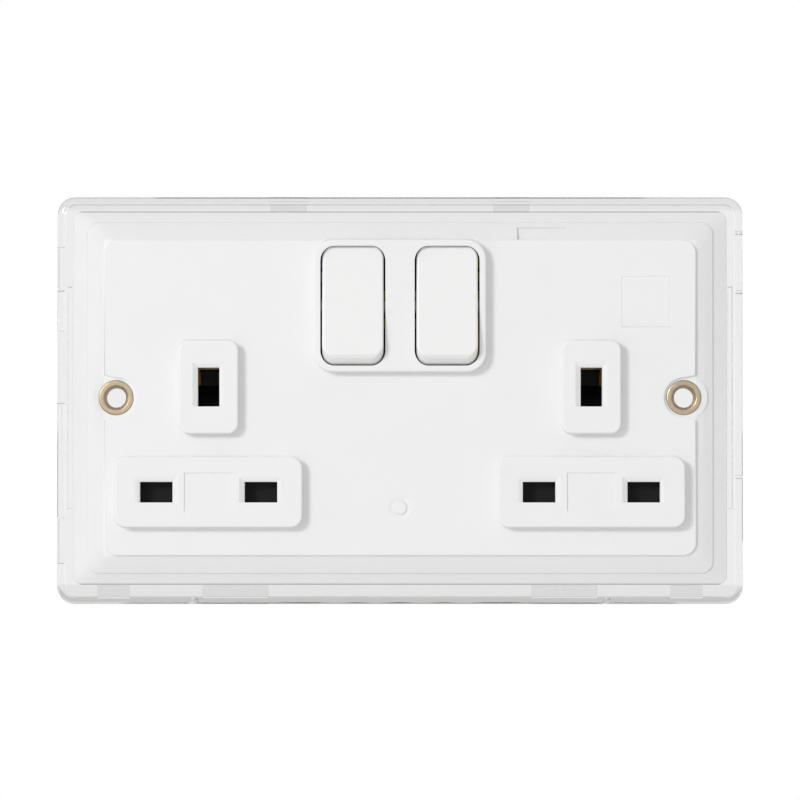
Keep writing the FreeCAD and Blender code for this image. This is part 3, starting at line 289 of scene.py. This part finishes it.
# Drawn wire: bright grey, with small marks from the die.
drawn_wire, tree = new_material("spring steel, drawn wire")
place = add_node(tree, "ShaderNodeTexCoord")
drawing = add_node(tree, "ShaderNodeTexNoise",
                   {"Vector": place.outputs["Object"], "Scale": 1 / WIRE_MARK, "Detail": 2.0})
gloss = add_node(tree, "ShaderNodeMapRange",
                 {"Value": drawing.outputs["Fac"], "To Min": 0.18, "To Max": 0.3})
shader = add_node(tree, "ShaderNodeBsdfPrincipled",
                  {"Base Color": linear("#9A9DA1"), "Metallic": 1.0,
                   "Roughness": gloss.outputs["Result"]})
add_node(tree, "ShaderNodeOutputMaterial", {"Surface": shader.outputs["BSDF"]})

for side in ("left", "right"):
    finish_cad("shutter_spring_" + side, drawn_wire)
    for pole in ("line", "neutral"):
        finish_cad(pole + "_plunger_spring_" + side, drawn_wire)


# Fixing bushes

# Turned brass eyelets that line the two fixing holes. Each sits by its flange in a
# place of the moulding, and its mouth is countersunk for the screw.

BUSH_X = 60.3 * MM
BUSH_EDGE = 0.08 * MM
TURNING_RING = 0.1131 * MM
TURNING_RELIEF = 0.01 * MM

# Turned brass: rings round the hole, one for each turn of the lathe. They are finer
# than a pixel from the front, and there they only soften the shine.
for side, name in ((-1, "left"), (1, "right")):
    turned_brass, tree = new_material("brass, turned, " + name)
    place = add_node(tree, "ShaderNodeTexCoord")
    centre = add_node(tree, "ShaderNodeMapping",
                      {"Vector": place.outputs["Object"], "Location": (-side * BUSH_X, 0.0, 0.0)})
    rings = add_node(tree, "ShaderNodeTexWave",
                     {"Vector": centre.outputs["Vector"], "Scale": WAVE_SPACING / TURNING_RING,
                      "Distortion": 0.6, "Detail": 2.0},
                     wave_type="RINGS", rings_direction="Y")
    gloss = add_node(tree, "ShaderNodeMapRange",
                     {"Value": rings.outputs["Fac"], "To Min": 0.3, "To Max": 0.42})
    relief = add_node(tree, "ShaderNodeBump",
                      {"Height": rings.outputs["Fac"], "Strength": 0.25,
                       "Distance": TURNING_RELIEF})
    shader = add_node(tree, "ShaderNodeBsdfPrincipled",
                      {"Base Color": linear("#B5A081"), "Metallic": 1.0,
                       "Roughness": gloss.outputs["Result"], "Normal": relief.outputs["Normal"]})
    add_node(tree, "ShaderNodeOutputMaterial", {"Surface": shader.outputs["BSDF"]})
    dressed("fixing_bush_" + name, "root", turned_brass, BUSH_EDGE)


# Face moulding

# White urea moulding: stepped tiers, raised pads with the pin holes, the switch pad
# and the bearings. It is compression moulded in a polished die.

FACE_EDGE = 0.16 * MM
SHADE_PATCH = 12 * MM
FACE_PEEL = 0.6 * MM
FACE_RELIEF = 0.004 * MM

# Painted shade: the tiers outside the panel are painted a shade darker than it,
# for the shade they lie in under the plate's border.
PANEL_HALF_WIDTH = 62.95 * MM
PANEL_HALF_HEIGHT = 33.6 * MM
TIER_PAINTED_SHADE = (0.925, 0.925, 0.925, 1.0)

# Past this height the rim's top and bottom faces are painted grey: a painted shadow
# of the dark gap between the rim and the plate.
RIM_SHADOW_FROM = 39.42 * MM
RIM_SHADOW_FULLY = 39.5 * MM

# Only the edges of the outer tiers are broken. The limits lie outside the panel's own
# edges, because a broken edge there would end in the panel's face.
OUTER_HALF_WIDTH = 63.2 * MM
OUTER_HALF_HEIGHT = 34.2 * MM
BUSH_PLACE_HALF_HEIGHT = 7.0 * MM

# The colour sockets of a Mix node, whose names it has several times.
MIX_FIRST = 6
MIX_SECOND = 7
MIXED = 2

# White urea: an even satin gloss, with a faint peel and hardly any shading.
white_urea, tree = new_material("white urea, compression moulded")
place = add_node(tree, "ShaderNodeTexCoord")
cloud = add_node(tree, "ShaderNodeTexNoise",
                 {"Vector": place.outputs["Object"], "Scale": 1 / SHADE_PATCH, "Detail": 3.0})
tone = add_node(tree, "ShaderNodeValToRGB", {"Fac": cloud.outputs["Fac"]})
tone.color_ramp.elements[0].color = linear("#EDEDEE")
tone.color_ramp.elements[1].color = linear("#F1F1F2")
peel = add_node(tree, "ShaderNodeTexNoise",
                {"Vector": place.outputs["Object"], "Scale": 1 / FACE_PEEL, "Detail": 2.0})
gloss = add_node(tree, "ShaderNodeMapRange",
                 {"Value": peel.outputs["Fac"], "To Min": 0.48, "To Max": 0.56})
relief = add_node(tree, "ShaderNodeBump",
                  {"Height": peel.outputs["Fac"], "Strength": 0.2, "Distance": FACE_RELIEF})
apart = add_node(tree, "ShaderNodeSeparateXYZ", {"Vector": place.outputs["Object"]})
height = add_node(tree, "ShaderNodeMath", {0: apart.outputs["Z"]}, operation="ABSOLUTE")
rim_shadow_mask = add_node(tree, "ShaderNodeMapRange",
                   {"Value": height.outputs["Value"], "From Min": RIM_SHADOW_FROM,
                    "From Max": RIM_SHADOW_FULLY})
across = add_node(tree, "ShaderNodeMath", {0: apart.outputs["X"]}, operation="ABSOLUTE")
past_side = add_node(tree, "ShaderNodeMath",
                     {0: across.outputs["Value"], 1: PANEL_HALF_WIDTH},
                     operation="GREATER_THAN")
past_end = add_node(tree, "ShaderNodeMath",
                    {0: height.outputs["Value"], 1: PANEL_HALF_HEIGHT},
                    operation="GREATER_THAN")
# Mask of the outer tiers, which get the painted shade.
painted_tier_mask = add_node(tree, "ShaderNodeMath",
                {0: past_side.outputs["Value"], 1: past_end.outputs["Value"]},
                operation="MAXIMUM")
shaded = add_node(tree, "ShaderNodeMix",
                  {"Factor": painted_tier_mask.outputs["Value"], MIX_FIRST: tone.outputs["Color"],
                   MIX_SECOND: TIER_PAINTED_SHADE}, data_type="RGBA", blend_type="MULTIPLY")
# The rim's top and bottom are mixed towards grey: a painted shadow of the gap.
coloured = add_node(tree, "ShaderNodeMix",
                    {"Factor": rim_shadow_mask.outputs["Result"], MIX_FIRST: shaded.outputs[MIXED],
                     MIX_SECOND: linear("#B4B4B3")}, data_type="RGBA")
shader = add_node(tree, "ShaderNodeBsdfPrincipled",
                  {"Base Color": coloured.outputs[MIXED], "Roughness": gloss.outputs["Result"],
                   "IOR": 1.54, "Specular IOR Level": 0.3,
                   "Normal": relief.outputs["Normal"]})
add_node(tree, "ShaderNodeOutputMaterial", {"Surface": shader.outputs["BSDF"]})


def on_tiers(point):
    """Says whether a point is on the tiers outside the panel, clear of the bush places."""
    beside = abs(point.x) > OUTER_HALF_WIDTH and abs(point.z) > BUSH_PLACE_HALF_HEIGHT
    return beside or abs(point.z) > OUTER_HALF_HEIGHT


dressed("face_moulding", "root", white_urea, FACE_EDGE, on_tiers)


# Rockers

# Two white polycarbonate rockers, injection moulded, a shade brighter and glossier
# than the face. Each turns on two trunnions in the moulding's bearings.

ROCKER_PEEL = 0.8 * MM
ROCKER_RELIEF = 0.003 * MM

# White polycarbonate: smooth and glossy, so it mirrors the light softly.
white_polycarbonate, tree = new_material("white polycarbonate, injection moulded")
place = add_node(tree, "ShaderNodeTexCoord")
peel = add_node(tree, "ShaderNodeTexNoise",
                {"Vector": place.outputs["Object"], "Scale": 1 / ROCKER_PEEL, "Detail": 2.0})
gloss = add_node(tree, "ShaderNodeMapRange",
                 {"Value": peel.outputs["Fac"], "To Min": 0.2, "To Max": 0.28})
relief = add_node(tree, "ShaderNodeBump",
                  {"Height": peel.outputs["Fac"], "Strength": 0.2, "Distance": ROCKER_RELIEF})
shader = add_node(tree, "ShaderNodeBsdfPrincipled",
                  {"Base Color": linear("#F0F0F0"), "Roughness": gloss.outputs["Result"],
                   "IOR": 1.585, "Normal": relief.outputs["Normal"]})
add_node(tree, "ShaderNodeOutputMaterial", {"Surface": shader.outputs["BSDF"]})

for side in ("left", "right"):
    dressed("rocker_" + side, "rocker_" + side, white_polycarbonate)


# Plungers

# Round-nosed acetal pins, injection moulded, two in each rocker. Each slides in a tube
# of its rocker on a spring, and presses on a contact arm.

WAX_PATCH = 0.7 * MM

# Natural acetal: milky and waxy.
natural_acetal, tree = new_material("acetal, natural, injection moulded")
place = add_node(tree, "ShaderNodeTexCoord")
wax = add_node(tree, "ShaderNodeTexNoise",
               {"Vector": place.outputs["Object"], "Scale": 1 / WAX_PATCH, "Detail": 2.0})
gloss = add_node(tree, "ShaderNodeMapRange",
                 {"Value": wax.outputs["Fac"], "To Min": 0.3, "To Max": 0.42})
shader = add_node(tree, "ShaderNodeBsdfPrincipled",
                  {"Base Color": linear("#E6E3D9"), "Roughness": gloss.outputs["Result"],
                   "IOR": 1.48})
add_node(tree, "ShaderNodeOutputMaterial", {"Surface": shader.outputs["BSDF"]})

for side in ("left", "right"):
    for pole in ("line", "neutral"):
        dressed(pole + "_plunger_" + side, "rocker_" + side, natural_acetal)


# Housing screws

# Four zinc-plated slotted screws, put in from the back, that hold the housing to the
# face moulding.

dressed("housing_screws", "root", zinc_plate, SCREW_EDGE)


# Clear front plate

# Clear polycarbonate cover, injection moulded and clipped over the moulding's rim. Its
# faces are polished, and the long sides of its skirt are satin, to leave the die.

PLATE_EDGE = 0.1 * MM

# Past this height only the border is left. It is painted a little greyer there:
# painted shade, for the part's shadow seen through the border.
BORDER_Z = 39.8 * MM
BORDER_BLEND = 0.3 * MM

# How much of a face's normal is upright where it is still polished, and where it is
# fully satin, and the roughness of each.
POLISHED_UP_TO = 0.6
SATIN_FROM = 0.95
POLISHED = 0.02
SATIN = 0.14

# Light is caught inside the shell's corners. With the default number of bounces these
# come out black, and really they are bright.
SHELL_BOUNCES = 40
scene.cycles.max_bounces = SHELL_BOUNCES
scene.cycles.transmission_bounces = SHELL_BOUNCES
scene.cycles.glossy_bounces = SHELL_BOUNCES

# Clear polycarbonate: it bends what is seen through it, so its edges show as bright and
# grey lines. The lamp's light goes through unbent, because bent light comes out as
# specks or is lost.
clear_polycarbonate, tree = new_material("clear polycarbonate, polished moulding")
place = add_node(tree, "ShaderNodeTexCoord")
apart = add_node(tree, "ShaderNodeSeparateXYZ", {"Vector": place.outputs["Object"]})
height = add_node(tree, "ShaderNodeMath", {0: apart.outputs["Z"]}, operation="ABSOLUTE")
# Painted shade: the plate's colour turns greyer on the border.
border_shade_mask = add_node(tree, "ShaderNodeMapRange",
                     {"Value": height.outputs["Value"], "From Min": BORDER_Z - BORDER_BLEND,
                      "From Max": BORDER_Z + BORDER_BLEND})
tone = add_node(tree, "ShaderNodeValToRGB", {"Fac": border_shade_mask.outputs["Result"]})
tone.color_ramp.elements[0].color = linear("#FEFEFE")
tone.color_ramp.elements[1].color = linear("#F3F3F3")
facing = add_node(tree, "ShaderNodeSeparateXYZ", {"Vector": place.outputs["Normal"]})
upright = add_node(tree, "ShaderNodeMath", {0: facing.outputs["Z"]}, operation="ABSOLUTE")
gloss = add_node(tree, "ShaderNodeMapRange",
                 {"Value": upright.outputs["Value"], "From Min": POLISHED_UP_TO,
                  "From Max": SATIN_FROM, "To Min": POLISHED, "To Max": SATIN})
shader = add_node(tree, "ShaderNodeBsdfPrincipled",
                  {"Base Color": tone.outputs["Color"], "Roughness": gloss.outputs["Result"],
                   "IOR": 1.585, "Transmission Weight": 1.0})
unbending = add_node(tree, "ShaderNodeBsdfTransparent", {"Color": linear("#FFFFFF")})
ray = add_node(tree, "ShaderNodeLightPath")
lighting = add_node(tree, "ShaderNodeMath",
                    {0: ray.outputs["Is Shadow Ray"], 1: ray.outputs["Is Diffuse Ray"]},
                    operation="MAXIMUM")
mixed = add_node(tree, "ShaderNodeMixShader",
                 {0: lighting.outputs["Value"], 1: shader.outputs["BSDF"],
                  2: unbending.outputs["BSDF"]})
add_node(tree, "ShaderNodeOutputMaterial", {"Surface": mixed.outputs["Shader"]})

dressed("front_plate", "root", clear_polycarbonate, PLATE_EDGE)


# Floor, light and camera

# A plain pale floor well below the part, a soft lamp in front of it from the left and
# a little above, and a white surround. The camera stands a little below the part, on
# a long lens.

# Lengths without MM are in metres, KEY_POWER is in watts and SENSOR_WIDTH in mm.
FLOOR_LEVEL = -0.25
FLOOR_SIZE = 9.0
STIPPLE = 3 * MM
STIPPLE_RELIEF = 0.1 * MM
KEY_AIM = Vector((-0.58, -1.0, 0.3))
KEY_DISTANCE = 2.6
KEY_SIZE = 0.5
KEY_POWER = 24.7
SKY_STRENGTH = 0.625
SEEN_THROUGH_SHADE = 0.42
CAMERA_TILT = math.radians(-1.5)
CAMERA_DISTANCE = 1.5
CAMERA_TARGET = Vector((0.0, -8 * MM, -0.55 * MM))
FRAME_WIDTH = 169.7 * MM
SENSOR_WIDTH = 36.0

scene.view_settings.view_transform = "Standard"

# Matt paint from a roller: dull, with a faint stipple.
floor_paint, tree = new_material("matt pale paint, rolled")
place = add_node(tree, "ShaderNodeTexCoord")
stipple = add_node(tree, "ShaderNodeTexNoise",
                   {"Vector": place.outputs["Object"], "Scale": 1 / STIPPLE, "Detail": 2.0})
relief = add_node(tree, "ShaderNodeBump",
                  {"Height": stipple.outputs["Fac"], "Strength": 0.1,
                   "Distance": STIPPLE_RELIEF})
shader = add_node(tree, "ShaderNodeBsdfPrincipled",
                  {"Base Color": linear("#EFEFED"), "Roughness": 0.8,
                   "Normal": relief.outputs["Normal"]})
add_node(tree, "ShaderNodeOutputMaterial", {"Surface": shader.outputs["BSDF"]})

bm = bmesh.new()
bmesh.ops.create_grid(bm, x_segments=1, y_segments=1, size=FLOOR_SIZE / 2)
bmesh.ops.translate(bm, vec=(0.0, 0.0, FLOOR_LEVEL), verts=bm.verts)
mesh = bpy.data.meshes.new("floor")
bm.to_mesh(mesh)
bm.free()
mesh.materials.append(floor_paint)
floor = bpy.data.objects.new("floor", mesh)
scene.collection.objects.link(floor)

# The camera and mirrored rays see plain white. Other rays see a duller sky, so that it
# lights the part at a plain level. What is seen through the plate is painted darker:
# painted shade, for the part's shadow on what lies behind it.
world = bpy.data.worlds.new("white surround")
world.use_nodes = True
scene.world = world
tree = world.node_tree
tree.nodes.clear()
sky = add_node(tree, "ShaderNodeBackground",
               {"Color": linear("#FFFFFF"), "Strength": SKY_STRENGTH})
white = add_node(tree, "ShaderNodeBackground", {"Color": linear("#FFFFFF"), "Strength": 1.0})
ray = add_node(tree, "ShaderNodeLightPath")
seen = add_node(tree, "ShaderNodeMath",
                {0: ray.outputs["Is Camera Ray"], 1: ray.outputs["Is Glossy Ray"]},
                operation="MAXIMUM")
# Painted shade: the white is dimmed where it is seen through the plate.
shown = add_node(tree, "ShaderNodeMath",
                 {0: ray.outputs["Is Transmission Ray"], 1: -SEEN_THROUGH_SHADE,
                  2: seen.outputs["Value"]}, operation="MULTIPLY_ADD")
surround = add_node(tree, "ShaderNodeMixShader",
                    {0: shown.outputs["Value"], 1: sky.outputs["Background"],
                     2: white.outputs["Background"]})
add_node(tree, "ShaderNodeOutputWorld", {"Surface": surround.outputs["Shader"]})

lamp = bpy.data.lights.new("key lamp", "AREA")
lamp.size = KEY_SIZE
lamp.energy = KEY_POWER
key = bpy.data.objects.new("key lamp", lamp)
key.location = KEY_AIM.normalized() * KEY_DISTANCE
key.rotation_mode = "QUATERNION"
key.rotation_quaternion = (-KEY_AIM).to_track_quat("-Z", "Y")
scene.collection.objects.link(key)

lens = bpy.data.cameras.new("camera")
lens.sensor_width = SENSOR_WIDTH
lens.lens = SENSOR_WIDTH * CAMERA_DISTANCE / FRAME_WIDTH
camera = bpy.data.objects.new("camera", lens)
back = Vector((0.0, -math.cos(CAMERA_TILT), math.sin(CAMERA_TILT)))
camera.location = CAMERA_TARGET + back * CAMERA_DISTANCE
camera.rotation_mode = "QUATERNION"
camera.rotation_quaternion = (-back).to_track_quat("-Z", "Y")
scene.collection.objects.link(camera)
scene.camera = camera
